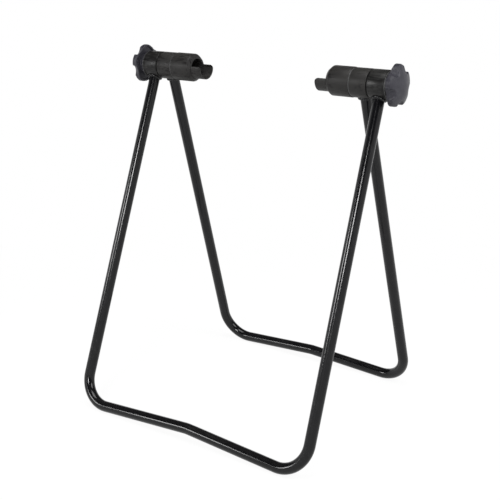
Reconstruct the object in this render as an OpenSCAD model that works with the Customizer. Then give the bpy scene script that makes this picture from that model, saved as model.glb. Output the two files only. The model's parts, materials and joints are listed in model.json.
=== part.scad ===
// Folding bicycle repair stand. Two bent-tube frames pivot on one hub axis and stand
// open as an A. At each end of the axis a moulded hub cup passes through the collars
// of both frames, and a knob pulls it tight.
// Millimetres, +Z up. X runs along the hub axis, the front frame leans towards -Y.
// The origin is on the floor, under the middle of the stand's box.

/* [Stance] */
// Height of the hub axis above the floor
pivot_h = 390; // [380:1:410]
// Lean of the front (wide) frame from the vertical, in degrees
front_tilt = 22.1; // [22:0.1:24]
// Lean of the rear (narrow) frame from the vertical, in degrees
rear_tilt = 16; // [14:0.1:16]

/* [Frames] */
// Outside diameter of the frame tubes
tube_d = 12.7; // [12:0.1:13]
// Wall of the frame tubes
tube_wall = 1.2; // [1:0.1:2]
// Centre-line radius of the bends at the feet
foot_bend_r = 33; // [28:1:38]
// Centre-line radius of the shallow bend in the middle of each base bar
bar_bend_r = 60; // [40:5:90]
// Rise of the base bar's middle above its ends
bar_rise = 9.4; // [6:0.2:12]
// How much wider each side of the front frame is at its foot than at its collar
front_spread = 4.8; // [3:0.2:6]
// The same for the rear frame
rear_spread = 6.5; // [4:0.5:7]

/* [Hub holders] */
// Clear gap between the two cup tips
cup_gap = 156; // [148:1:160]
// Outside diameter of the cup's body
cup_d = 32.4; // [32:0.2:34]
// Outside diameter of the frame collars
collar_d = 31.6; // [31:0.2:32]
// Length of one frame collar
collar_len = 20.2; // [19:0.2:22]
// Diameter of the bore that takes the axle nut
nut_bore_d = 21.4; // [20:0.2:22]
// Outside diameter of the open trough at the cup's tip
trough_d = 24.8; // [24.6:0.2:27]
// Height of the trough's rim above the hub axis
rim_h = 3; // [2:0.5:6]

/* [Knobs] */
// Diameter across the knob's lobes
knob_d = 45.6; // [42:0.2:48]
// Diameter of the knob between its lobes
knob_valley_d = 40.6; // [38:0.2:42]
// Number of lobes
lobes = 5; // [4:1:6]

/* [Hidden] */
$fn = 96;

left = -1;
right = 1;
eps = 0.5;              // how far a cutter runs past the face that it opens
running = 0.05;         // radial clearance of a running fit

// Frame tubes
tube_r = tube_d / 2;
bend_lap = 0.5;         // how far a straight run laps over a bend
bend_draw = 0.03;       // how much smaller the tube's radius is along a bend
foot_r = tube_r - bend_draw;
front_leg = (pivot_h - foot_r) / cos(front_tilt);
rear_leg = (pivot_h - foot_r) / cos(rear_tilt);
front_reach = front_leg * sin(front_tilt) + foot_r;
rear_reach = rear_leg * sin(rear_tilt) + foot_r;
pivot_y = (front_reach - rear_reach) / 2;
fold_angle = front_tilt + rear_tilt;

// Weld bead: a cone from just inside the collar's wall down the leg
weld_r0 = tube_r + 3.4;
weld_r1 = tube_r + 0.3;
weld_len = 6.5;
weld_depth = 3;

// Stations along the hub axis, measured outwards from the middle of the stand
bush_wall = 1.5;
flange_t = 1;
disc_t = 1;
knob_washer_t = 1.5;
tip_x = cup_gap / 2;
trough_len = 14;
nose_len = 4;
body_len = 24.5;
nose_x = tip_x + trough_len;
body_x = nose_x + nose_len;
shoulder_x = body_x + body_len;
rear_x0 = shoulder_x + flange_t;
rear_x1 = rear_x0 + collar_len;
front_x0 = rear_x1 + disc_t;
front_x1 = front_x0 + collar_len;
washer_x0 = front_x1 + flange_t;
washer_x1 = washer_x0 + knob_washer_t;
rear_top_x = (rear_x0 + rear_x1) / 2;
front_top_x = (front_x0 + front_x1) / 2;

// Radii around the hub axis
cup_r = cup_d / 2;
collar_r = collar_d / 2;
bore_r = nut_bore_d / 2;
trough_r = trough_d / 2;
nose_r = trough_r + 0.6;
edge_r = 0.8;           // rounding of the collars' and cups' rims
spigot_r = 11;
spigot_flat = 9;        // half the width across the spigot's two flats
bush_r = spigot_r + bush_wall;
flange_r = collar_r - 0.4;
disc_r = bush_r + 0.2;

// The cup's inside
nut_bore_len = 17;      // full-round bore behind the trough's end
head_x = nose_x + nut_bore_len;
spigot_end_x = front_x1 - 1.5;  // short of the collar's end, so that the knob clamps
trough_bore_r = bore_r + 0.3;
trough_corner = 4;      // rounding of the trough's rim at the tip

// M8 through bolt, nut and washers
bolt_r = 4;
bolt_pitch = 1.25;
bolt_hole_r = 4.4;
hex_flat = 13;
head_t = 5.3;
head_washer_t = 1.6;
head_washer_r = 8;
bolt_chamfer = 0.8;
thread_len = 20;
thread_depth = 0.6;
pocket_play = 0.1;      // play of the bolt's head and washer in the cup's pockets
bolt_end_x = washer_x1 + 9;

// Fold stop: an arc lug on the rear collar runs in an arc slot in the front collar
lug_r0 = 13.5;
lug_r1 = 14.9;
lug_arc = 24;
lug_h = disc_t + 2.3;
slot_depth = 3;
slot_play = 0.4;        // degrees at each end of the slot
slot_gap = 0.15;        // radial play of the lug in the slot

// Knob, measured outwards from its neck's face
knob_x = washer_x1;
neck_len = 2.6;
neck_r = 13;
rim_t = 5.4;            // height of the rim's straight wall at a lobe's tip
crown_t = 11;           // height of the crown above the rim's back face
lobe_r = 9;
flute_r = 8.5;
flute_cut = 1.5;        // how deep the flutes bite at the rim's back face
flute_len = 40;
flute_slant = 32;       // how far the flutes lean in towards the face, in degrees
insert_t = 7;
insert_x = knob_x + 1;
bolt_room = 0.6;        // room beyond the bolt's end in the knob

// ---------- helpers ----------

// Directions and tangent lengths along a bent centre line
function heading(p, q) = atan2(q.y - p.y, q.x - p.x);
function wrapped(a) = a > 180 ? a - 360 : a < -180 ? a + 360 : a;
function turn(pts, i) = wrapped(heading(pts[i], pts[i + 1]) - heading(pts[i - 1], pts[i]));
function tangent_len(pts, radii, i) =
    i == 0 || i == len(pts) - 1 ? 0 : radii[i] * tan(abs(turn(pts, i)) / 2);
function along(p, a, d) = p + d * [cos(a), sin(a)];

// A round bar of radius r that follows pts in the XY plane. Each straight run laps a
// little way over its bends, which bending has drawn in by a hair.
module bent_bar(pts, radii, r) {
    for (i = [0 : len(pts) - 2]) {
        a = heading(pts[i], pts[i + 1]);
        lap0 = i == 0 ? 0 : bend_lap;
        lap1 = i == len(pts) - 2 ? 0 : bend_lap;
        p = along(pts[i], a, tangent_len(pts, radii, i) - lap0);
        q = along(pts[i + 1], a, lap1 - tangent_len(pts, radii, i + 1));
        translate([p.x, p.y, 0])
            rotate([0, 90, a]) cylinder(h = norm(q - p), r = r, $fn = 64);
    }
    for (i = [1 : len(pts) - 2]) {
        a = heading(pts[i - 1], pts[i]);
        side = sign(turn(pts, i));
        p = along(pts[i], a, -tangent_len(pts, radii, i));
        c = along(p, a + 90 * side, radii[i]);
        start = a - 90 * side + (side < 0 ? turn(pts, i) : 0);
        translate([c.x, c.y, 0]) rotate([0, 0, start])
            rotate_extrude(angle = abs(turn(pts, i)))
                translate([radii[i], 0]) circle(r - bend_draw, $fn = 64);
    }
}

// Depth below the axis of the point where a leg and a base bar would meet unrounded,
// so that the rounded foot is exactly leg deep
function corner_depth(leg, half_w, spread) =
    let (slope = atan(bar_rise / half_w), lean = atan(spread / leg),
         inside = 90 - slope - lean)
    leg - foot_bend_r
        + foot_bend_r * sin(135 + (lean - slope) / 2) / sin(inside / 2);

function frame_path(top_x, spread, leg) =
    let (base_x = top_x + spread, depth = corner_depth(leg, base_x, spread))
    [[-top_x, 0], [-base_x, -depth], [0, bar_rise - depth], [base_x, -depth], [top_x, 0]];

bend_radii = [0, foot_bend_r, bar_bend_r, foot_bend_r, 0];
front_path = frame_path(front_top_x, front_spread, front_leg);
rear_path = frame_path(rear_top_x, rear_spread, rear_leg);

module at_pivot() translate([0, pivot_y, pivot_h]) children();

// Stands a frame drawn in the XY plane up, and leans it: positive leans the feet to +Y
module leaned(tilt) rotate([90 + tilt, 0, 0]) children();

// Puts a shape drawn for the right side on either side
module on_side(s) mirror([s < 0 ? 1 : 0, 0, 0]) children();

// A disc or rod on the hub axis, from x0 to x1
module turned(r, x0, x1)
    translate([x0, 0, 0]) rotate([0, 90, 0]) cylinder(h = x1 - x0, r = r);

// A solid of revolution on the hub axis; its outline is a list of [radius, x] points
module lathed(points)
    rotate([0, 90, 0]) rotate_extrude() polygon(points);

// Quarter-round corners of radius c for an outline: in at the start of a disc, out at its end
corner_step = 30;
function corner_in(r, x, c) =
    [for (a = [0 : corner_step : 90]) [r - c + c * sin(a), x + c - c * cos(a)]];
function corner_out(r, x, c) =
    [for (a = [0 : corner_step : 90]) [r - c + c * cos(a), x - c + c * sin(a)]];

// A disc with rounded rims
module rounded_disc(r, x0, x1, c)
    lathed(concat([[0, x0]], corner_in(r, x0, c), corner_out(r, x1, c), [[0, x1]]));

// An arc-shaped bar on the hub axis; angles run from straight down towards +Y
module arc_bar(r0, r1, x0, x1, a0, a1)
    translate([x0, 0, 0]) rotate([0, 90, 0]) rotate([0, 0, a0])
        rotate_extrude(angle = a1 - a0) translate([r0, 0]) square([r1 - r0, x1 - x0]);

// Round bar with two flats, above and below the axis
module flatted(r, flat, x0, x1)
    intersection() {
        turned(r, x0, x1);
        translate([x0 - 1, -r - 1, -flat]) cube([x1 - x0 + 2, 2 * r + 2, 2 * flat]);
    }

module hexagon(across, x0, x1)
    translate([x0, 0, 0]) rotate([0, 90, 0])
        cylinder(h = x1 - x0, r = across / 2 / cos(30), $fn = 6);

// ---------- frames ----------

module frame_tube(path, tilt) {
    at_pivot() difference() {
        leaned(tilt) bent_bar(path, bend_radii, tube_r);
        leaned(tilt) bent_bar(path, bend_radii, tube_r - tube_wall);
        for (s = [left, right])
            on_side(s) turned(collar_r, path[4].x - tube_d, path[4].x + tube_d);
    }
}

// Coned bead where a leg meets its collar
module weld(path, tilt) {
    lean = atan((path[3].x - path[4].x) / -path[3].y);
    difference() {
        translate([path[4].x, 0, 0]) leaned(tilt)
            rotate([90, 0, lean])
                translate([0, 0, collar_r - weld_depth])
                    cylinder(h = weld_len, r1 = weld_r0, r2 = weld_r1);
        translate([path[4].x, 0, 0]) leaned(tilt)
            rotate([90, 0, lean])
                cylinder(h = 2 * collar_r, r = tube_r);
        turned(collar_r, path[4].x - tube_d, path[4].x + tube_d);
    }
}

module welds(path, tilt)
    at_pivot() for (s = [left, right]) on_side(s) weld(path, tilt);

module front_frame_tube() color("#17171a") frame_tube(front_path, -front_tilt);
module rear_frame_tube() color("#17171a") frame_tube(rear_path, rear_tilt);
module front_welds() color("#202024") welds(front_path, -front_tilt);
module rear_welds() color("#202024") welds(rear_path, rear_tilt);

module front_collar(s)
    color("#1c1c1f") at_pivot() on_side(s) difference() {
        rounded_disc(collar_r, front_x0, front_x1, edge_r);
        turned(bush_r, front_x0 - eps, front_x1 + eps);
        arc_bar(lug_r0 - slot_gap, lug_r1 + slot_gap, front_x0 - eps, front_x0 + slot_depth,
            180 - lug_arc / 2 - fold_angle - slot_play, 180 + lug_arc / 2 + slot_play);
    }

module rear_collar(s)
    color("#2a2a2c") at_pivot() on_side(s) union() {
        difference() {
            rounded_disc(collar_r, rear_x0, rear_x1, edge_r);
            turned(bush_r, rear_x0 - eps, rear_x1 + eps);
        }
        arc_bar(lug_r0, lug_r1, rear_x1 - eps, rear_x1 + lug_h,
            180 - lug_arc / 2, 180 + lug_arc / 2);
    }

// ---------- bearings and washers ----------

module front_bush(s)
    color("#3a3a3c") at_pivot() on_side(s) difference() {
        union() {
            turned(bush_r, front_x0, front_x1);
            turned(flange_r, front_x1, front_x1 + flange_t);
        }
        flatted(spigot_r + running, spigot_flat + running, front_x0 - eps, washer_x0 + eps);
    }

module rear_bush(s)
    color("#3a3a3c") at_pivot() on_side(s) difference() {
        union() {
            turned(bush_r, rear_x0, rear_x1);
            turned(flange_r, rear_x0 - flange_t, rear_x0);
        }
        turned(spigot_r + running, rear_x0 - flange_t - eps, rear_x1 + eps);
    }

module friction_disc(s)
    color("#8c8a80") at_pivot() on_side(s) difference() {
        turned(disc_r, rear_x1, front_x0);
        turned(spigot_r + running, rear_x1 - eps, front_x0 + eps);
    }

module knob_washer(s)
    color("#a8abae") at_pivot() on_side(s) difference() {
        turned(neck_r, washer_x0, washer_x1);
        turned(bolt_hole_r, washer_x0 - eps, washer_x1 + eps);
    }

// ---------- hub cups and their bolts ----------

// Cuts the tip open above the rim, and rounds the rim's end corners
module trough_opening() {
    translate([tip_x - eps, -cup_r, rim_h]) cube([trough_len + eps, cup_d, cup_d]);
    difference() {
        translate([tip_x - eps, -cup_r, rim_h - trough_corner])
            cube([trough_corner + eps, cup_d, trough_corner + eps]);
        translate([tip_x + trough_corner, 0, rim_h - trough_corner])
            rotate([90, 0, 0]) cylinder(h = cup_d + 2 * eps, r = trough_corner, center = true);
    }
}

module hub_cup(s)
    color("#29292b") at_pivot() on_side(s) difference() {
        union() {
            lathed(concat(
                [[0, tip_x], [trough_r, tip_x], [trough_r, nose_x], [nose_r, nose_x]],
                [[cup_r - edge_r / 2, body_x - edge_r / 2], [cup_r, body_x + edge_r / 2]],
                corner_out(cup_r, shoulder_x, edge_r),
                [[spigot_r, shoulder_x], [spigot_r, front_x0], [0, front_x0]]
            ));
            flatted(spigot_r, spigot_flat, front_x0 - eps, spigot_end_x);
        }
        turned(trough_bore_r, tip_x - eps, nose_x);
        turned(bore_r, nose_x - eps, head_x);
        hexagon(hex_flat + pocket_play, head_x - eps, head_x + head_t + head_washer_t);
        turned(head_washer_r + pocket_play, head_x + head_t, head_x + head_t + head_washer_t);
        turned(bolt_hole_r, head_x, spigot_end_x + eps);
        trough_opening();
    }

// Half of the threaded end's outline: pitch-wide vees between the root and the crest
function thread_points(x0, turns) = [
    for (i = [0 : turns - 1], p = [
        [bolt_r, x0 + i * bolt_pitch],
        [bolt_r, x0 + (i + 0.2) * bolt_pitch],
        [bolt_r - thread_depth, x0 + (i + 0.5) * bolt_pitch],
        [bolt_r, x0 + (i + 0.8) * bolt_pitch]
    ]) p
];

module cup_bolt(s) {
    turns = floor(thread_len / bolt_pitch);
    thread_x = bolt_end_x - bolt_chamfer - turns * bolt_pitch;
    seat_x = head_x + head_t;
    color("#b4b7ba") at_pivot() on_side(s) union() {
        hexagon(hex_flat, head_x, seat_x);
        lathed(concat(
            [[0, seat_x - 1], [bolt_r, seat_x - 1]],
            thread_points(thread_x, turns),
            [[bolt_r, bolt_end_x - bolt_chamfer], [bolt_r - bolt_chamfer, bolt_end_x], [0, bolt_end_x]]
        ));
    }
}

module bolt_washer(s) {
    x0 = head_x + head_t;
    color("#a8abae") at_pivot() on_side(s) difference() {
        turned(head_washer_r, x0, x0 + head_washer_t);
        turned(bolt_hole_r, x0 - eps, x0 + head_washer_t + eps);
    }
}

// ---------- knobs ----------

module lobed_outline() {
    circle(r = knob_valley_d / 2);
    for (i = [0 : lobes - 1])
        rotate(360 * i / lobes) translate([knob_d / 2 - lobe_r, 0]) circle(r = lobe_r);
}

// Slanted finger flutes between the lobes, deepest at the face
module finger_flutes() {
    for (i = [0 : lobes - 1])
        rotate(360 * (i + 0.5) / lobes)
            translate([knob_d / 2 + flute_r - flute_cut, 0, 0])
                rotate([0, -flute_slant, 0]) cylinder(h = flute_len, r = flute_r);
}

// Drawn along +Z from the rim's back face; the first lobe points along +X
module knob_head() {
    dome_r = (pow(knob_d / 2, 2) + pow(crown_t - rim_t, 2)) / 2 / (crown_t - rim_t);
    intersection() {
        difference() {
            linear_extrude(crown_t + 1) lobed_outline();
            finger_flutes();
        }
        translate([0, 0, crown_t - dome_r]) sphere(r = dome_r);
    }
}

module knob(s)
    color("#26262a") at_pivot() on_side(s) difference() {
        union() {
            turned(neck_r, knob_x, knob_x + neck_len + eps);
            translate([knob_x + neck_len, 0, 0])
                rotate([0, 90, 0]) rotate([0, 0, 180]) knob_head();
        }
        hexagon(hex_flat, insert_x, insert_x + insert_t);
        turned(bolt_hole_r, knob_x - eps, bolt_end_x + bolt_room);
    }

module knob_insert(s)
    color("#b59a54") at_pivot() on_side(s) difference() {
        hexagon(hex_flat, insert_x, insert_x + insert_t);
        turned(bolt_r + running, insert_x - eps, insert_x + insert_t + eps);
    }

front_frame_tube();
rear_frame_tube();
front_welds();
rear_welds();
front_collar(left);  // front_collar_left
front_collar(right);  // front_collar_right
rear_collar(left);  // rear_collar_left
rear_collar(right);  // rear_collar_right
front_bush(left);  // front_bush_left
front_bush(right);  // front_bush_right
rear_bush(left);  // rear_bush_left
rear_bush(right);  // rear_bush_right
friction_disc(left);  // friction_disc_left
friction_disc(right);  // friction_disc_right
knob_washer(left);  // knob_washer_left
knob_washer(right);  // knob_washer_right
hub_cup(left);  // hub_cup_left
hub_cup(right);  // hub_cup_right
cup_bolt(left);  // cup_bolt_left
cup_bolt(right);  // cup_bolt_right
bolt_washer(left);  // bolt_washer_left
bolt_washer(right);  // bolt_washer_right
knob(left);  // knob_left
knob(right);  // knob_right
knob_insert(left);  // knob_insert_left
knob_insert(right);  // knob_insert_right
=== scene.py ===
import json
import math

import bmesh
import bpy
from mathutils import Matrix, Vector


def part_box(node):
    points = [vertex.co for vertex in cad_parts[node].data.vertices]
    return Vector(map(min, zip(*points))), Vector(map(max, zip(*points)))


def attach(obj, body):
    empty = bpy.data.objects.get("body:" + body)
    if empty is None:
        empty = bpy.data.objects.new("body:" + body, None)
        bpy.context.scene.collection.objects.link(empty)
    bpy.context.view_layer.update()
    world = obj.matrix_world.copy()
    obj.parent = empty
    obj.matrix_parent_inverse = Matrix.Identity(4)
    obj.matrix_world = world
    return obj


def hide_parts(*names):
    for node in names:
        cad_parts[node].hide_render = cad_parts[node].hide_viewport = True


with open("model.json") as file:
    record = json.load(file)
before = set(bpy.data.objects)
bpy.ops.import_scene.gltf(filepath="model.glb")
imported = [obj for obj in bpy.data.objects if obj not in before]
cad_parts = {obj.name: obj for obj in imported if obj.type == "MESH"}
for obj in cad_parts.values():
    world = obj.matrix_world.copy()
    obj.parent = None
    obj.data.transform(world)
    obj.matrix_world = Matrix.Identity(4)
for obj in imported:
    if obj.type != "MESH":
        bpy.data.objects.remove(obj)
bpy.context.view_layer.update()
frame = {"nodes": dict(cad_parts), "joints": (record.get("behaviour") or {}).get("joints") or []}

foldJoint = next(joint for joint in frame["joints"] if joint["name"] == "frame_fold")
hub = Vector(foldJoint["pos_m"])  # on the hub axis, midway between the cups
sides = {"left": -1, "right": 1}
scene = bpy.context.scene
print("frame loaded, hub axis at", [round(c, 4) for c in hub])


# ---- camera ----

view = {
    "azimuth": 36.0,       # degrees round from the front towards +X
    "elevation": 18.337,
    "roll": -0.894,
    "distance": 1.1697,
    "lens": 72.03,
    "target": (-0.0029, 0.0, 0.1875),
}


def makeCamera():
    azimuth = math.radians(view["azimuth"])
    elevation = math.radians(view["elevation"])
    back = Vector((
        math.sin(azimuth) * math.cos(elevation),
        -math.cos(azimuth) * math.cos(elevation),
        math.sin(elevation),
    ))
    place = Matrix.Translation(Vector(view["target"]) + back * view["distance"])
    turned = back.to_track_quat("Z", "Y").to_matrix().to_4x4()
    data = bpy.data.cameras.new("camera")
    data.lens = view["lens"]
    data.sensor_width = 36
    camera = bpy.data.objects.new("camera", data)
    camera.matrix_world = place @ turned @ Matrix.Rotation(math.radians(view["roll"]), 4, "Z")
    scene.collection.objects.link(camera)
    scene.camera = camera


makeCamera()
scene.view_settings.view_transform = "Standard"


# ---- node helpers ----

def newTree(name, kind, inputs, outputs):
    # inputs: (name, socket type, value or None), outputs: (name, socket type)
    tree = bpy.data.node_groups.new(name, kind)
    for label, socketType, value in inputs:
        socket = tree.interface.new_socket(name=label, in_out="INPUT", socket_type=socketType)
        if value is not None:
            socket.default_value = value
    for label, socketType in outputs:
        tree.interface.new_socket(name=label, in_out="OUTPUT", socket_type=socketType)
    given = tree.nodes.new("NodeGroupInput").outputs
    wanted = tree.nodes.new("NodeGroupOutput").inputs
    return tree, given, wanted


def add(tree, kind, inputs=None, **settings):
    # a new node: settings are its properties, inputs are sockets to link or plain values
    node = tree.nodes.new(kind)
    for key, value in settings.items():
        setattr(node, key, value)
    for key, value in (inputs or {}).items():
        if isinstance(value, bpy.types.NodeSocket):
            tree.links.new(value, node.inputs[key])
        else:
            node.inputs[key].default_value = value
    return node


def maths(tree, operation, *values):
    return add(tree, "ShaderNodeMath", dict(enumerate(values)), operation=operation).outputs[0]


def negative(tree, value):
    return maths(tree, "MULTIPLY", value, -1.0)


def vector(tree, x=0.0, y=0.0, z=0.0):
    return add(tree, "ShaderNodeCombineXYZ", {"X": x, "Y": y, "Z": z}).outputs[0]


def ramped(tree, value, low, high, start=0.0, end=1.0):
    # a smooth step from start at low to end at high
    return add(tree, "ShaderNodeMapRange", {
        "Value": value, "From Min": low, "From Max": high, "To Min": start, "To Max": end,
    }, interpolation_type="SMOOTHSTEP").outputs["Result"]


def mixedColour(tree, factor, first, second):
    node = add(tree, "ShaderNodeMix", {0: factor}, data_type="RGBA")
    for socket, colour in ((node.inputs[6], first), (node.inputs[7], second)):
        if isinstance(colour, bpy.types.NodeSocket):
            tree.links.new(colour, socket)
        else:
            socket.default_value = (*colour, 1)
    return node.outputs[2]


def noise(tree, place, scale, detail=2.0, roughness=0.5):
    return add(tree, "ShaderNodeTexNoise", {
        "Vector": place, "Scale": scale, "Detail": detail, "Roughness": roughness,
    }).outputs["Fac"]


# ---- effects that the finishes share ----

def makeGrainGroup():
    # fine skin of a moulded or sprayed surface, with a slow swell under it
    tree, given, wanted = newTree("surfaceGrain", "ShaderNodeTree", [
        ("Vector", "NodeSocketVector", None),
        ("Scale", "NodeSocketFloat", 1500.0),
        ("Swell Scale", "NodeSocketFloat", 120.0),
        ("Swell", "NodeSocketFloat", 0.3),
    ], [("Height", "NodeSocketFloat"), ("Tone", "NodeSocketFloat")])
    fine = noise(tree, given["Vector"], given["Scale"], detail=3.0, roughness=0.6)
    slow = noise(tree, given["Vector"], given["Swell Scale"], detail=1.0)
    height = maths(tree, "ADD", fine, maths(tree, "MULTIPLY", slow, given["Swell"]))
    tree.links.new(height, wanted["Height"])
    tree.links.new(ramped(tree, slow, low=0.3, high=0.7), wanted["Tone"])
    return tree


def makeHandlingGroup():
    # grease and rub marks: a change of roughness in patches, and sparse fine scuffs
    tree, given, wanted = newTree("handlingMarks", "ShaderNodeTree", [
        ("Vector", "NodeSocketVector", None),
        ("Patch Scale", "NodeSocketFloat", 35.0),
        ("Scuff Scale", "NodeSocketFloat", 90.0),
        ("Scuff Cover", "NodeSocketFloat", 0.15),
    ], [("Smudge", "NodeSocketFloat"), ("Scuff", "NodeSocketFloat")])
    patches = noise(tree, given["Vector"], given["Patch Scale"], detail=3.0, roughness=0.55)
    tree.links.new(ramped(tree, patches, low=0.35, high=0.7), wanted["Smudge"])
    stretched = add(tree, "ShaderNodeMapping", {
        "Vector": given["Vector"], "Rotation": (0.3, 0.5, 0.2), "Scale": (1.0, 7.0, 1.6),
    }).outputs[0]
    lines = noise(tree, stretched, given["Scuff Scale"], detail=4.0, roughness=0.7)
    where = noise(tree, given["Vector"], scale=22.0)
    threshold = maths(tree, "SUBTRACT", 0.86, given["Scuff Cover"])  # 0.86 leaves none
    mark = maths(tree, "MULTIPLY", maths(tree, "ADD", lines, where), 0.7)
    tree.links.new(
        ramped(tree, mark, threshold, maths(tree, "ADD", threshold, 0.04)), wanted["Scuff"])
    return tree


def makeWearGroup():
    # worn edges, broken up so that they aren't an even line
    tree, given, wanted = newTree("edgeWear", "ShaderNodeTree", [
        ("Vector", "NodeSocketVector", None),
        ("Start", "NodeSocketFloat", 0.53),
        ("Full", "NodeSocketFloat", 0.6),
    ], [("Wear", "NodeSocketFloat")])
    edges = add(tree, "ShaderNodeNewGeometry").outputs["Pointiness"]
    breaks = noise(tree, given["Vector"], scale=260.0, detail=4.0, roughness=0.6)
    patchy = ramped(tree, breaks, low=0.35, high=0.65)
    sharp = ramped(tree, edges, given["Start"], given["Full"])
    tree.links.new(maths(tree, "MULTIPLY", sharp, patchy), wanted["Wear"])
    return tree


def makeDustGroup():
    # workshop dust on what faces up
    tree, given, wanted = newTree("settledDust", "ShaderNodeTree", [
        ("Vector", "NodeSocketVector", None),
        ("Amount", "NodeSocketFloat", 0.1),
    ], [("Dust", "NodeSocketFloat")])
    normal = add(tree, "ShaderNodeTexCoord").outputs["Normal"]
    up = add(tree, "ShaderNodeSeparateXYZ", {0: normal}).outputs["Z"]
    grit = noise(tree, given["Vector"], scale=900.0, detail=4.0, roughness=0.7)
    specks = ramped(tree, grit, low=0.42, high=0.68)
    film = noise(tree, given["Vector"], scale=40.0)
    facingUp = ramped(tree, up, low=0.45, high=1.0)
    cover = maths(tree, "MULTIPLY", facingUp, maths(tree, "ADD", specks, film))
    tree.links.new(maths(tree, "MULTIPLY", cover, given["Amount"]), wanted["Dust"])
    return tree


grainGroup = makeGrainGroup()
handlingGroup = makeHandlingGroup()
wearGroup = makeWearGroup()
dustGroup = makeDustGroup()

dust = {
    "colour": (0.2, 0.19, 0.17),
    "roughness": 0.6,      # added to the roughness where dust lies
}
scuffRoughness = 0.25      # and where the surface is scuffed
parting = {
    "crest": 0.00012,      # half width of the line's top
    "foot": 0.0003,        # and of its base
    "height": 2.5,         # in grain depths
}


def makeFinish(name, look, partingZ=None):
    # one material: the look says its plain values, the shared effects vary them
    material = bpy.data.materials.new(name)
    material.use_nodes = True
    tree = material.node_tree
    shader = tree.nodes["Principled BSDF"]
    place = add(tree, "ShaderNodeTexCoord").outputs["Object"]
    grain = add(tree, "ShaderNodeGroup", node_tree=grainGroup)
    handling = add(tree, "ShaderNodeGroup", node_tree=handlingGroup)
    wear = add(tree, "ShaderNodeGroup", node_tree=wearGroup)
    settled = add(tree, "ShaderNodeGroup", node_tree=dustGroup)
    for node, values in (
        (grain, {"Scale": look["grainScale"], "Swell Scale": look["swellScale"],
                 "Swell": look["swell"]}),
        (handling, {"Patch Scale": look["patchScale"], "Scuff Scale": look["scuffScale"],
                    "Scuff Cover": look["scuffCover"]}),
        (wear, {"Start": look["wearStart"], "Full": look["wearFull"]}),
        (settled, {"Amount": look["dust"]}),
    ):
        tree.links.new(place, node.inputs["Vector"])
        for key, value in values.items():
            node.inputs[key].default_value = value

    colour = mixedColour(tree, grain.outputs["Tone"], look["colour"], look["secondColour"])
    marks = maths(tree, "MULTIPLY", handling.outputs["Scuff"], look["scuffStrength"])
    colour = mixedColour(tree, marks, colour, look["scuffColour"])
    edge = maths(tree, "MULTIPLY", wear.outputs["Wear"], look["wearStrength"])
    colour = mixedColour(tree, edge, colour, look["wearColour"])
    colour = mixedColour(tree, settled.outputs["Dust"], colour, dust["colour"])
    tree.links.new(colour, shader.inputs["Base Color"])

    smudge = maths(tree, "MULTIPLY", handling.outputs["Smudge"], look["smudge"])
    rough = maths(tree, "ADD", smudge, look["roughness"])
    rough = maths(tree, "ADD", rough, maths(tree, "MULTIPLY", marks, scuffRoughness))
    dusty = maths(tree, "MULTIPLY", settled.outputs["Dust"], dust["roughness"])
    rough = maths(tree, "ADD", rough, dusty)
    tree.links.new(rough, shader.inputs["Roughness"])

    height = grain.outputs["Height"]
    if partingZ is not None:  # the moulding's parting line, level with the hub axis
        level = add(tree, "ShaderNodeSeparateXYZ", {0: place}).outputs["Z"]
        offset = maths(tree, "ABSOLUTE", maths(tree, "SUBTRACT", level, partingZ))
        ridge = ramped(tree, offset, parting["crest"], parting["foot"], 1.0, 0.0)
        ridge = maths(tree, "MULTIPLY", ridge, parting["height"])
        height = maths(tree, "ADD", height, ridge)
    bump = add(tree, "ShaderNodeBump", {
        "Height": height, "Strength": 1.0, "Distance": look["grainDepth"]})
    tree.links.new(bump.outputs[0], shader.inputs["Normal"])
    shader.inputs["Metallic"].default_value = look.get("metallic", 0.0)
    shader.inputs["Specular IOR Level"].default_value = look.get("specular", 0.5)
    return material


# ---- finishes ----

frameEnamel = makeFinish("frameEnamel", {
    "colour": (0.0025, 0.0025, 0.0031), "secondColour": (0.0036, 0.0036, 0.0043),
    "roughness": 0.13, "smudge": 0.05, "specular": 0.28,
    "grainScale": 420.0, "swellScale": 120.0, "swell": 1.6, "grainDepth": 0.000006,
    "patchScale": 30.0, "scuffScale": 70.0, "scuffCover": 0.05,
    "scuffStrength": 0.12, "scuffColour": (0.03, 0.03, 0.03),
    "wearStart": 0.56, "wearFull": 0.64, "wearStrength": 0.2, "wearColour": (0.06, 0.06, 0.06),
    "dust": 0.02,
})
collarEnamel = makeFinish("collarEnamel", {
    "colour": (0.0042, 0.004, 0.0041), "secondColour": (0.0062, 0.0059, 0.0058),
    "roughness": 0.3, "smudge": 0.1, "specular": 0.22,
    "grainScale": 900.0, "swellScale": 140.0, "swell": 1.6, "grainDepth": 0.000005,
    "patchScale": 60.0, "scuffScale": 110.0, "scuffCover": 0.12,
    "scuffStrength": 0.15, "scuffColour": (0.06, 0.06, 0.058),
    "wearStart": 0.54, "wearFull": 0.62, "wearStrength": 0.3, "wearColour": (0.07, 0.07, 0.068),
    "dust": 0.03,
})
cupNylon = makeFinish("cupNylon", {
    "colour": (0.0058, 0.0052, 0.0055), "secondColour": (0.0078, 0.0072, 0.007),
    "roughness": 0.36, "smudge": 0.08, "specular": 0.17,
    "grainScale": 2600.0, "swellScale": 90.0, "swell": 0.8, "grainDepth": 0.00004,
    "patchScale": 45.0, "scuffScale": 120.0, "scuffCover": 0.16,
    "scuffStrength": 0.25, "scuffColour": (0.045, 0.044, 0.042),
    "wearStart": 0.54, "wearFull": 0.62, "wearStrength": 0.3, "wearColour": (0.05, 0.049, 0.047),
    "dust": 0.03,
}, partingZ=hub.z)
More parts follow.
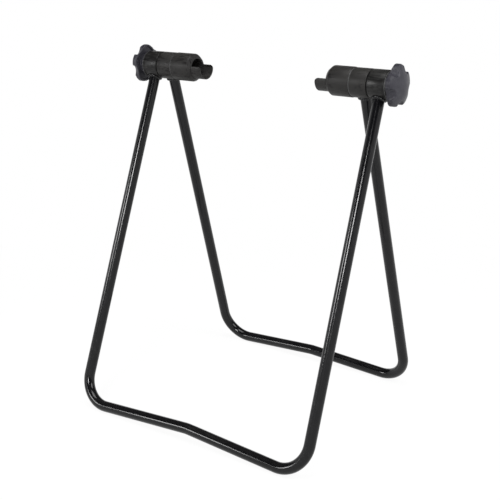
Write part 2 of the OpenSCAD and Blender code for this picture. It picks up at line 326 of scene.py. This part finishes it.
knobPlastic = makeFinish("knobPlastic", {
    "colour": (0.015, 0.0145, 0.0205), "secondColour": (0.02, 0.0195, 0.026),
    "roughness": 0.38, "smudge": 0.1, "specular": 0.28,
    "grainScale": 2200.0, "swellScale": 110.0, "swell": 0.6, "grainDepth": 0.00005,
    "patchScale": 70.0, "scuffScale": 140.0, "scuffCover": 0.14,
    "scuffStrength": 0.25, "scuffColour": (0.06, 0.06, 0.068),
    "wearStart": 0.52, "wearFull": 0.6, "wearStrength": 0.3, "wearColour": (0.065, 0.065, 0.075),
    "dust": 0.02,
})
bushNylon = makeFinish("bushNylon", {
    "colour": (0.022, 0.022, 0.023), "secondColour": (0.03, 0.03, 0.031),
    "roughness": 0.45, "smudge": 0.1, "specular": 0.45,
    "grainScale": 3000.0, "swellScale": 200.0, "swell": 0.4, "grainDepth": 0.00003,
    "patchScale": 90.0, "scuffScale": 160.0, "scuffCover": 0.1,
    "scuffStrength": 0.3, "scuffColour": (0.09, 0.09, 0.09),
    "wearStart": 0.55, "wearFull": 0.65, "wearStrength": 0.2, "wearColour": (0.1, 0.1, 0.1),
    "dust": 0.03,
})
discFibre = makeFinish("discFibre", {
    "colour": (0.1, 0.085, 0.065), "secondColour": (0.15, 0.13, 0.1),
    "roughness": 0.75, "smudge": 0.1, "specular": 0.3,
    "grainScale": 1800.0, "swellScale": 400.0, "swell": 1.0, "grainDepth": 0.00012,
    "patchScale": 120.0, "scuffScale": 200.0, "scuffCover": 0.2,
    "scuffStrength": 0.4, "scuffColour": (0.03, 0.028, 0.025),
    "wearStart": 0.55, "wearFull": 0.65, "wearStrength": 0.2, "wearColour": (0.2, 0.18, 0.15),
    "dust": 0.02,
})
zincSteel = makeFinish("zincSteel", {
    "colour": (0.55, 0.56, 0.57), "secondColour": (0.66, 0.66, 0.65),
    "roughness": 0.28, "smudge": 0.15, "metallic": 1.0,
    "grainScale": 2400.0, "swellScale": 300.0, "swell": 0.8, "grainDepth": 0.00003,
    "patchScale": 120.0, "scuffScale": 220.0, "scuffCover": 0.16,
    "scuffStrength": 0.4, "scuffColour": (0.35, 0.34, 0.33),
    "wearStart": 0.55, "wearFull": 0.65, "wearStrength": 0.2, "wearColour": (0.75, 0.75, 0.75),
    "dust": 0.02,
})
insertBrass = makeFinish("insertBrass", {
    "colour": (0.6, 0.42, 0.17), "secondColour": (0.68, 0.5, 0.22),
    "roughness": 0.3, "smudge": 0.12, "metallic": 1.0,
    "grainScale": 2400.0, "swellScale": 300.0, "swell": 0.8, "grainDepth": 0.00003,
    "patchScale": 120.0, "scuffScale": 220.0, "scuffCover": 0.12,
    "scuffStrength": 0.3, "scuffColour": (0.3, 0.2, 0.1),
    "wearStart": 0.55, "wearFull": 0.65, "wearStrength": 0.2, "wearColour": (0.8, 0.65, 0.35),
    "dust": 0.0,
})
print("finishes made")


# ---- mesh helpers ----

def linked(name, mesh, material=None):
    piece = bpy.data.objects.new(name, mesh)
    if material is not None:
        mesh.materials.clear()
        mesh.materials.append(material)
    scene.collection.objects.link(piece)
    return piece


def smoothed(mesh, angle=32.0):
    mesh.polygons.foreach_set("use_smooth", [True] * len(mesh.polygons))
    mesh.set_sharp_from_angle(angle=math.radians(angle))


def grownPiece(name, tree, values):
    # runs a Geometry Nodes tree with the given inputs and keeps its result as a plain mesh
    piece = linked(name, bpy.data.meshes.new(name))
    modifier = piece.modifiers.new(tree.name, "NODES")
    modifier.node_group = tree
    for socket in tree.interface.items_tree:
        if socket.in_out == "INPUT" and socket.name in values:
            modifier[socket.identifier] = values[socket.name]
    evaluated = piece.evaluated_get(bpy.context.evaluated_depsgraph_get())
    mesh = bpy.data.meshes.new_from_object(evaluated)
    piece.modifiers.clear()
    piece.data = mesh
    return piece


def settle(piece, body, slot, *replaced):
    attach(piece, body)
    if replaced:
        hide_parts(*replaced)


# ---- frame tubes ----

tubes = {
    "radius": 0.00632,
    "footBend": 0.033,     # centre-line radius of the bends at the feet
    "barBend": 0.060,      # and of the shallow bend in the middle of each base bar
    "barRise": 0.0094,     # rise of the base bar's middle
    "spread": {"front": 0.0048, "rear": 0.0065},
    "hiddenLeg": 0.014,    # the legs end this far from the axis, in the collar's wall
    "bendSteps": 22,
    "sidesRound": 56,
}
leansTo = {"front": -1, "rear": 1}


def frameShape(end):
    # the bent centre line's own sizes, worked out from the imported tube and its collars
    low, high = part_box(end + "_frame_tube")
    reach = hub.y - low[1] if end == "front" else high[1] - hub.y
    tilt = math.atan((reach - tubes["radius"]) / (hub.z - tubes["radius"]))
    leg = (hub.z - tubes["radius"]) / math.cos(tilt)
    collarLow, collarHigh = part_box(end + "_collar_right")
    outer = collarHigh[0] if end == "front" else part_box("friction_disc_right")[0][0]
    topX = (collarLow[0] + outer) / 2
    spread = tubes["spread"][end]
    baseX = topX + spread
    slope = math.atan(tubes["barRise"] / baseX)
    lean = math.atan(spread / leg)
    inside = math.pi / 2 - slope - lean
    # how far the corner of the line lies outside the bend that rounds it, in bend radii
    corner = math.sin(math.radians(135) + (lean - slope) / 2) / math.sin(inside / 2)
    depth = leg + tubes["footBend"] * (corner - 1)
    return {"tilt": tilt * leansTo[end], "topX": topX, "baseX": baseX, "depth": depth,
            "lean": math.atan(spread / depth)}


def stoodUp(tree, geometry, given):
    # turns a shape drawn upright at the hub to the frame's tilt, and puts it in place
    turn = add(tree, "FunctionNodeEulerToRotation", {0: vector(tree, given["Tilt"])}).outputs[0]
    placed = add(tree, "GeometryNodeTransform", {
        "Geometry": geometry, "Translation": given["Hub"], "Rotation": turn}).outputs[0]
    smooth = add(tree, "GeometryNodeSetShadeSmooth", {"Geometry": placed}).outputs[0]
    real = add(tree, "GeometryNodeRealizeInstances", {"Geometry": smooth}).outputs[0]
    return add(tree, "GeometryNodeSetMaterial", {
        "Geometry": real, "Material": given["Material"]}).outputs[0]


def switched(tree, dataType, index, values):
    node = add(tree, "GeometryNodeIndexSwitch", data_type=dataType)
    while len(node.index_switch_items) < len(values):
        node.index_switch_items.new()
    tree.links.new(index, node.inputs[0])
    for slot, value in enumerate(values, start=1):
        if isinstance(value, bpy.types.NodeSocket):
            tree.links.new(value, node.inputs[slot])
        else:
            node.inputs[slot].default_value = value
    return node.outputs[0]


def makeTubeTree():
    tree, given, wanted = newTree("bentTube", "GeometryNodeTree", [
        ("Top X", "NodeSocketFloat", 0.15),
        ("Base X", "NodeSocketFloat", 0.16),
        ("Depth", "NodeSocketFloat", 0.4),
        ("Bar Rise", "NodeSocketFloat", 0.01),
        ("Foot Bend", "NodeSocketFloat", 0.03),
        ("Bar Bend", "NodeSocketFloat", 0.06),
        ("Bend Steps", "NodeSocketInt", 20),
        ("Hidden Leg", "NodeSocketFloat", 0.01),
        ("Radius", "NodeSocketFloat", 0.006),
        ("Sides Round", "NodeSocketInt", 48),
        ("Tilt", "NodeSocketFloat", 0.0),
        ("Hub", "NodeSocketVector", None),
        ("Material", "NodeSocketMaterial", None),
    ], [("Geometry", "NodeSocketGeometry")])
    index = add(tree, "GeometryNodeInputIndex").outputs[0]
    foot = negative(tree, given["Depth"])
    corners = switched(tree, "VECTOR", index, [
        vector(tree, negative(tree, given["Top X"])),
        vector(tree, negative(tree, given["Base X"]), z=foot),
        vector(tree, z=maths(tree, "ADD", foot, given["Bar Rise"])),
        vector(tree, given["Base X"], z=foot),
        vector(tree, given["Top X"]),
    ])
    bends = switched(tree, "FLOAT", index, [
        0.0, given["Foot Bend"], given["Bar Bend"], given["Foot Bend"], 0.0])
    line = add(tree, "GeometryNodeCurvePrimitiveLine").outputs[0]
    points = add(tree, "GeometryNodeResampleCurve", {"Curve": line, "Count": 5}).outputs[0]
    angular = add(tree, "GeometryNodeSetPosition", {
        "Geometry": points, "Position": corners}).outputs[0]
    bent = add(tree, "GeometryNodeFilletCurve", {
        "Curve": angular, "Count": given["Bend Steps"], "Radius": bends}, mode="POLY").outputs[0]
    length = add(tree, "GeometryNodeCurveLength", {"Curve": bent}).outputs[0]
    trimmed = add(tree, "GeometryNodeTrimCurve", {
        "Curve": bent, 4: given["Hidden Leg"],
        5: maths(tree, "SUBTRACT", length, given["Hidden Leg"])}, mode="LENGTH").outputs[0]
    ring = add(tree, "GeometryNodeCurvePrimitiveCircle", {
        "Resolution": given["Sides Round"], "Radius": given["Radius"]}).outputs[0]
    tube = add(tree, "GeometryNodeCurveToMesh", {
        "Curve": trimmed, "Profile Curve": ring, "Fill Caps": True}).outputs[0]
    tree.links.new(stoodUp(tree, tube, given), wanted["Geometry"])
    return tree


tubeTree = makeTubeTree()
shapes = {end: frameShape(end) for end in leansTo}
for end, shape in shapes.items():
    tube = grownPiece(end + "TubeEnamelled", tubeTree, {
        "Top X": shape["topX"], "Base X": shape["baseX"], "Depth": shape["depth"],
        "Bar Rise": tubes["barRise"], "Foot Bend": tubes["footBend"],
        "Bar Bend": tubes["barBend"], "Bend Steps": tubes["bendSteps"],
        "Hidden Leg": tubes["hiddenLeg"], "Radius": tubes["radius"],
        "Sides Round": tubes["sidesRound"], "Tilt": shape["tilt"], "Hub": hub,
        "Material": frameEnamel,
    })
    settle(tube, end + "_frame", "frame_enamel", end + "_frame_tube")
print("frame tubes bent")


# ---- weld beads ----

beads = {
    "radius": 0.0021,
    "proud": 0.0002,       # how far the bead's middle stands off the tube and the collar
    "ripples": 22,
    "rippleDepth": 0.09,
    "stepsPerRipple": 8,
    "sidesRound": 14,
}


def makeBeadTree():
    tree, given, wanted = newTree("weldBead", "GeometryNodeTree", [
        ("Top X", "NodeSocketFloat", 0.15),
        ("Lean", "NodeSocketFloat", 0.0),
        ("Tube Radius", "NodeSocketFloat", 0.006),
        ("Collar Radius", "NodeSocketFloat", 0.016),
        ("Bead Radius", "NodeSocketFloat", 0.002),
        ("Ripples", "NodeSocketInt", 20),
        ("Ripple Depth", "NodeSocketFloat", 0.1),
        ("Steps Per Ripple", "NodeSocketInt", 8),
        ("Sides Round", "NodeSocketInt", 12),
        ("Tilt", "NodeSocketFloat", 0.0),
        ("Hub", "NodeSocketVector", None),
        ("Material", "NodeSocketMaterial", None),
    ], [("Geometry", "NodeSocketGeometry")])
    steps = maths(tree, "MULTIPLY", given["Ripples"], given["Steps Per Ripple"])
    loop = add(tree, "GeometryNodeCurvePrimitiveCircle", {"Resolution": steps}).outputs[0]
    factor = add(tree, "GeometryNodeSplineParameter").outputs["Factor"]
    angle = maths(tree, "MULTIPLY", factor, math.tau)
    x = maths(tree, "MULTIPLY", maths(tree, "COSINE", angle), given["Tube Radius"])
    y = maths(tree, "MULTIPLY", maths(tree, "SINE", angle), given["Tube Radius"])
    below = maths(tree, "SUBTRACT",
                  maths(tree, "POWER", given["Collar Radius"], 2.0), maths(tree, "POWER", y, 2.0))
    z = negative(tree, maths(tree, "SQRT", below))
    saddle = add(tree, "GeometryNodeSetPosition", {
        "Geometry": loop, "Position": vector(tree, x, y, z)}).outputs[0]
    wave = maths(tree, "SINE", maths(tree, "MULTIPLY", angle, given["Ripples"]))
    swelling = maths(tree, "ADD", 1.0, maths(tree, "MULTIPLY", wave, given["Ripple Depth"]))
    ring = add(tree, "GeometryNodeCurvePrimitiveCircle", {
        "Resolution": given["Sides Round"], "Radius": given["Bead Radius"]}).outputs[0]
    bead = add(tree, "GeometryNodeCurveToMesh", {
        "Curve": saddle, "Profile Curve": ring, "Scale": swelling}).outputs[0]
    joined = add(tree, "GeometryNodeJoinGeometry")
    for across, lean in ((given["Top X"], negative(tree, given["Lean"])),
                         (negative(tree, given["Top X"]), given["Lean"])):
        turn = add(tree, "FunctionNodeEulerToRotation", {0: vector(tree, y=lean)}).outputs[0]
        side = add(tree, "GeometryNodeTransform", {
            "Geometry": bead, "Translation": vector(tree, across), "Rotation": turn}).outputs[0]
        tree.links.new(side, joined.inputs[0])
    tree.links.new(stoodUp(tree, joined.outputs[0], given), wanted["Geometry"])
    return tree


beadTree = makeBeadTree()
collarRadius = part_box("front_collar_right")[1][2] - hub.z
for end, shape in shapes.items():
    bead = grownPiece(end + "WeldBeads", beadTree, {
        "Top X": shape["topX"], "Lean": shape["lean"],
        "Tube Radius": tubes["radius"] + beads["proud"],
        "Collar Radius": collarRadius + beads["proud"],
        "Bead Radius": beads["radius"], "Ripples": beads["ripples"],
        "Ripple Depth": beads["rippleDepth"], "Steps Per Ripple": beads["stepsPerRipple"],
        "Sides Round": beads["sidesRound"], "Tilt": shape["tilt"], "Hub": hub,
        "Material": frameEnamel,
    })
    settle(bead, end + "_frame", "frame_enamel", end + "_welds")
print("weld beads laid")


# ---- hub cups and collars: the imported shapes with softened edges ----

softened = {
    "cupEdge": 0.0004,
    "collarEdge": 0.0002,
    "segments": 3,
    "sharpFrom": 34.0,     # degrees; shallower edges are facets of a round
    "mergeWithin": 0.00001,
    "flatWithin": 0.4,     # degrees; faces this close to one plane become one face
}


def softenedCopy(node, name, edge, material):
    mesh = frame["nodes"][node].data.copy()
    mesh.name = name
    shape = bmesh.new()
    shape.from_mesh(mesh)
    bmesh.ops.remove_doubles(shape, verts=shape.verts, dist=softened["mergeWithin"])
    bmesh.ops.dissolve_limit(shape, angle_limit=math.radians(softened["flatWithin"]),
                             verts=shape.verts, edges=shape.edges)
    shape.to_mesh(mesh)
    shape.free()
    piece = linked(name, mesh, material)
    bevel = piece.modifiers.new("softEdges", "BEVEL")
    bevel.width = edge
    bevel.segments = softened["segments"]
    bevel.limit_method = "ANGLE"
    bevel.angle_limit = math.radians(softened["sharpFrom"])
    evaluated = piece.evaluated_get(bpy.context.evaluated_depsgraph_get())
    finished = bpy.data.meshes.new_from_object(evaluated)
    piece.modifiers.clear()
    piece.data = finished
    smoothed(finished)
    return piece


for side in sides:
    cup = softenedCopy("hub_cup_" + side, side + "HubCup", softened["cupEdge"], cupNylon)
    settle(cup, side + "_cup", "cup_plastic", "hub_cup_" + side)
    for end in leansTo:
        node = end + "_collar_" + side
        finish = collarEnamel if end == "front" else cupNylon
        collar = softenedCopy(node, side + end.title() + "Collar", softened["collarEdge"], finish)
        settle(collar, end + "_frame", "collar_enamel", node)
print("cups and collars softened")


# ---- knobs ----

knobs = {
    "lobes": 5,
    "tipRadius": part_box("knob_right")[1][2] - hub.z,
    "valleyRadius": 0.0211,
    "lobeRadius": 0.009,
    "fluteRadius": 0.0075,
    "fluteCut": 0.0015,    # bite of a flute at the rim's back face
    "fluteSlant": 32.0,    # degrees; the flutes deepen towards the face
    "rimHeight": 0.0054,   # the rim's straight wall at a lobe's tip
    "crownHeight": 0.011,  # the crown above the rim's back face
    "rimEdge": 0.0014,     # rounding where the wall meets the face
    "backEdge": 0.0007,
    "smallEdge": 0.0006,   # rounding of the neck, the lip and the hollow
    "neckLength": 0.0026,
    "neckRadius": 0.013,
    "recess": 0.0016,      # hollow moulded round the neck
    "lip": 0.0026,         # wall left outside that hollow
    "boltHole": 0.0044,
    "boltRoom": 0.0006,
    "insertPocket": 0.0076,
    "blend": 0.0014,       # how softly the flutes run into the lobes
    "columns": 180,
    "roundSteps": 4,
    "domeSteps": 9,
    "rimRounds": 5,
    "smoothTo": 40.0,      # degrees; sharper edges stay sharp
    "cornerShare": 0.45,   # the most of a line's length that one rounding takes
}
knobDome = (knobs["tipRadius"] ** 2 + (knobs["crownHeight"] - knobs["rimHeight"]) ** 2) / (
    2 * (knobs["crownHeight"] - knobs["rimHeight"]))


def softMin(a, b, blend):
    mix = max(blend - abs(a - b), 0.0) / blend
    return min(a, b) - mix * mix * blend / 4


def domeHeight(radius):
    return knobs["crownHeight"] - knobDome + math.sqrt(knobDome ** 2 - radius ** 2)


def knobReach(angle, height):
    # radius of the knob's wall at an angle from a lobe's middle, at a height over its back
    step = math.tau / knobs["lobes"]
    off = (angle + step / 2) % step - step / 2
    centre = knobs["tipRadius"] - knobs["lobeRadius"]
    inner = knobs["lobeRadius"] ** 2 - (centre * math.sin(off)) ** 2
    lobe = centre * math.cos(off) + math.sqrt(max(inner, 0.0))
    outline = -softMin(-lobe, -knobs["valleyRadius"], knobs["blend"])
    gap = step / 2 - abs(off)
    slant = math.radians(knobs["fluteSlant"])
    middle = (knobs["tipRadius"] + knobs["fluteRadius"] - knobs["fluteCut"]
              - height * math.tan(slant))
    long, short = knobs["fluteRadius"] / math.cos(slant), knobs["fluteRadius"]
    # where a ray at this angle meets the flute's slanted, so elliptical, section
    a = (math.cos(gap) / long) ** 2 + (math.sin(gap) / short) ** 2
    b = -2 * middle * math.cos(gap) / long ** 2
    c = (middle / long) ** 2 - 1
    inside = b * b - 4 * a * c
    if inside <= 0:
        return min(outline, knobs["tipRadius"])
    flute = (-b - math.sqrt(inside)) / (2 * a)
    return min(softMin(outline, flute, knobs["blend"]), knobs["tipRadius"])


def roundedLine(corners, steps):
    # corners are (radius, height, rounding); each rounded one becomes a short curve
    line = []
    for i, (r, h, rounding) in enumerate(corners):
        corner = Vector((r, h))
        if rounding == 0 or i in (0, len(corners) - 1):
            line.append(corner)
            continue
        before = Vector(corners[i - 1][:2]) - corner
        after = Vector(corners[i + 1][:2]) - corner
        reach = min(rounding, knobs["cornerShare"] * before.length, knobs["cornerShare"] * after.length)
        start, end = corner + before.normalized() * reach, corner + after.normalized() * reach
        for k in range(steps + 1):
            t = k / steps
            line.append(start * (1 - t) ** 2 + corner * 2 * t * (1 - t) + end * t ** 2)
    return line


def knobProfile(angle, holeTop, insertFrom, insertTo):
    top = knobs["rimHeight"]
    for _ in range(knobs["rimRounds"]):  # the rim's height and radius depend on each other
        rimRadius = knobReach(angle, top)
        top = domeHeight(rimRadius)
    backRadius = knobReach(angle, 0.0)
    lipRadius = backRadius - knobs["lip"]
    back = -knobs["neckLength"]
    small = knobs["smallEdge"]
    corners = [
        (0.0, holeTop, 0), (knobs["boltHole"], holeTop, 0),
        (knobs["boltHole"], insertTo, 0), (knobs["insertPocket"], insertTo, 0),
        (knobs["insertPocket"], insertFrom, 0), (knobs["boltHole"], insertFrom, 0),
        (knobs["boltHole"], back, 0), (knobs["neckRadius"], back, small),
        (knobs["neckRadius"], knobs["recess"], small), (lipRadius, knobs["recess"], small),
        (lipRadius, 0.0, small), (backRadius, 0.0, knobs["backEdge"]),
        (rimRadius, top, knobs["rimEdge"]),
    ]
    for k in range(1, knobs["domeSteps"] + 1):
        radius = rimRadius * (1 - k / knobs["domeSteps"])
        corners.append((radius, domeHeight(radius), 0))
    return roundedLine(corners, knobs["roundSteps"])


def makeKnob(side):
    sign = sides[side]
    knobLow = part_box("knob_right")[0]
    insertLow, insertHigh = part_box("knob_insert_right")
    rimBack = knobLow[0] + knobs["neckLength"]
    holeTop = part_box("cup_bolt_right")[1][0] + knobs["boltRoom"] - rimBack
    mesh = bpy.data.meshes.new(side + "Knob")
    shape = bmesh.new()
    columns = []
    first, last = None, None
    for column in range(knobs["columns"]):
        angle = math.tau * column / knobs["columns"]
        line = knobProfile(angle, holeTop, insertLow[0] - rimBack, insertHigh[0] - rimBack)
        places = [Vector((sign * (rimBack + h), hub.y + r * math.sin(angle),
                          hub.z + r * math.cos(angle))) for r, h in line]
        if column == 0:
            first, last = shape.verts.new(places[0]), shape.verts.new(places[-1])
        columns.append([first] + [shape.verts.new(p) for p in places[1:-1]] + [last])
    for here, there in zip(columns, columns[1:] + columns[:1]):
        for row in range(len(here) - 1):
            corners = [here[row], here[row + 1], there[row + 1], there[row]]
            shape.faces.new(list(dict.fromkeys(corners)))
    bmesh.ops.recalc_face_normals(shape, faces=shape.faces)
    shape.to_mesh(mesh)
    shape.free()
    smoothed(mesh, knobs["smoothTo"])
    return linked(side + "Knob", mesh, knobPlastic)


for side in sides:
    settle(makeKnob(side), side + "_knob", "knob_plastic", "knob_" + side)
print("knobs moulded")


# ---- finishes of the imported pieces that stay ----

packedFinishes = {
    "front_bush": bushNylon, "rear_bush": bushNylon, "friction_disc": discFibre,
    "knob_washer": zincSteel, "cup_bolt": zincSteel, "bolt_washer": zincSteel,
    "knob_insert": insertBrass,
}
for start, finish in packedFinishes.items():
    for side in sides:
        for slot in frame["nodes"][start + "_" + side].material_slots:
            slot.material = finish
print("packed pieces finished")


# ---- studio ----

studio = {
    "floorSize": 60.0,
    "floorColour": (0.86, 0.86, 0.85),
    "whiteNear": 0.93,     # share of the seen floor that is plain white; the rest takes the shadow
    "whiteFar": 1.0,
    "shadowReach": (0.26, 0.75),  # from the middle out, where whiteNear turns to whiteFar
    "fill": 0.45,          # even light that the surfaces get from all round
    "ceiling": 0.015,      # what glossy surfaces see above the backdrop
    "backdropFrom": 0.26,  # upward share of the direction at which the white backdrop fades
    "backdropTo": 0.38,
}
lamps = {
    # azimuth, elevation, distance, width, height, watts
    "frontLeftBox": (-36.0, 17.0, 2.4, 0.5, 0.4, 14.0),
    "frontBox": (14.0, 24.5, 2.2, 0.45, 0.35, 20.0),
    "rightBox": (96.0, 38.0, 0.9, 0.4, 0.4, 4.6),
    "topBox": (10.0, 78.0, 2.2, 1.2, 1.2, 30.0),
}


def seenDirectly(tree):
    path = add(tree, "ShaderNodeLightPath").outputs
    both = maths(tree, "ADD", path["Is Camera Ray"], path["Is Glossy Ray"])
    node = add(tree, "ShaderNodeMath", {0: both, 1: path["Is Transmission Ray"]}, operation="ADD")
    node.use_clamp = True
    return node.outputs[0]


def makeWorld():
    world = bpy.data.worlds.new("studioWorld")
    world.use_nodes = True
    tree = world.node_tree
    tree.nodes.clear()
    direction = add(tree, "ShaderNodeTexCoord").outputs["Generated"]
    up = add(tree, "ShaderNodeSeparateXYZ", {0: direction}).outputs["Z"]
    level = ramped(tree, up, studio["backdropFrom"], studio["backdropTo"], 1.0, studio["ceiling"])
    grey = vector(tree, level, level, level)
    seen = add(tree, "ShaderNodeBackground", {"Color": grey, "Strength": 1.0})
    fill = add(tree, "ShaderNodeBackground", {"Color": (1, 1, 1, 1), "Strength": studio["fill"]})
    mix = add(tree, "ShaderNodeMixShader", {
        0: seenDirectly(tree), 1: fill.outputs[0], 2: seen.outputs[0]})
    add(tree, "ShaderNodeOutputWorld", {0: mix.outputs[0]})
    scene.world = world


def makeFloor():
    bpy.ops.mesh.primitive_plane_add(size=studio["floorSize"])
    floor = bpy.context.object
    floor.name = "studioFloor"
    material = bpy.data.materials.new("studioFloor")
    material.use_nodes = True
    tree = material.node_tree
    tree.nodes.clear()
    matt = add(tree, "ShaderNodeBsdfDiffuse", {"Color": (*studio["floorColour"], 1)})
    plain = add(tree, "ShaderNodeEmission", {"Color": (1, 1, 1, 1), "Strength": 1.0})
    place = add(tree, "ShaderNodeTexCoord").outputs["Object"]
    away = add(tree, "ShaderNodeVectorMath", {0: place}, operation="LENGTH").outputs["Value"]
    white = ramped(tree, away, *studio["shadowReach"], studio["whiteNear"], studio["whiteFar"])
    share = maths(tree, "MULTIPLY", seenDirectly(tree), white)
    mix = add(tree, "ShaderNodeMixShader", {0: share, 1: matt.outputs[0], 2: plain.outputs[0]})
    add(tree, "ShaderNodeOutputMaterial", {0: mix.outputs[0]})
    floor.data.materials.append(material)


def makeLamp(name, azimuth, elevation, distance, width, height, watts):
    azimuth, elevation = math.radians(azimuth), math.radians(elevation)
    away = Vector((
        math.sin(azimuth) * math.cos(elevation),
        -math.cos(azimuth) * math.cos(elevation),
        math.sin(elevation),
    ))
    data = bpy.data.lights.new(name, "AREA")
    data.shape = "RECTANGLE"
    data.size, data.size_y = width, height
    data.energy = watts
    lamp = bpy.data.objects.new(name, data)
    aim = Vector((0, 0, hub.z / 2))
    lamp.matrix_world = Matrix.Translation(aim + away * distance) @ (
        away.to_track_quat("Z", "Y").to_matrix().to_4x4())
    lamp.visible_camera = False
    scene.collection.objects.link(lamp)


makeWorld()
makeFloor()
for name, values in lamps.items():
    makeLamp(name, *values)
print("studio lit")
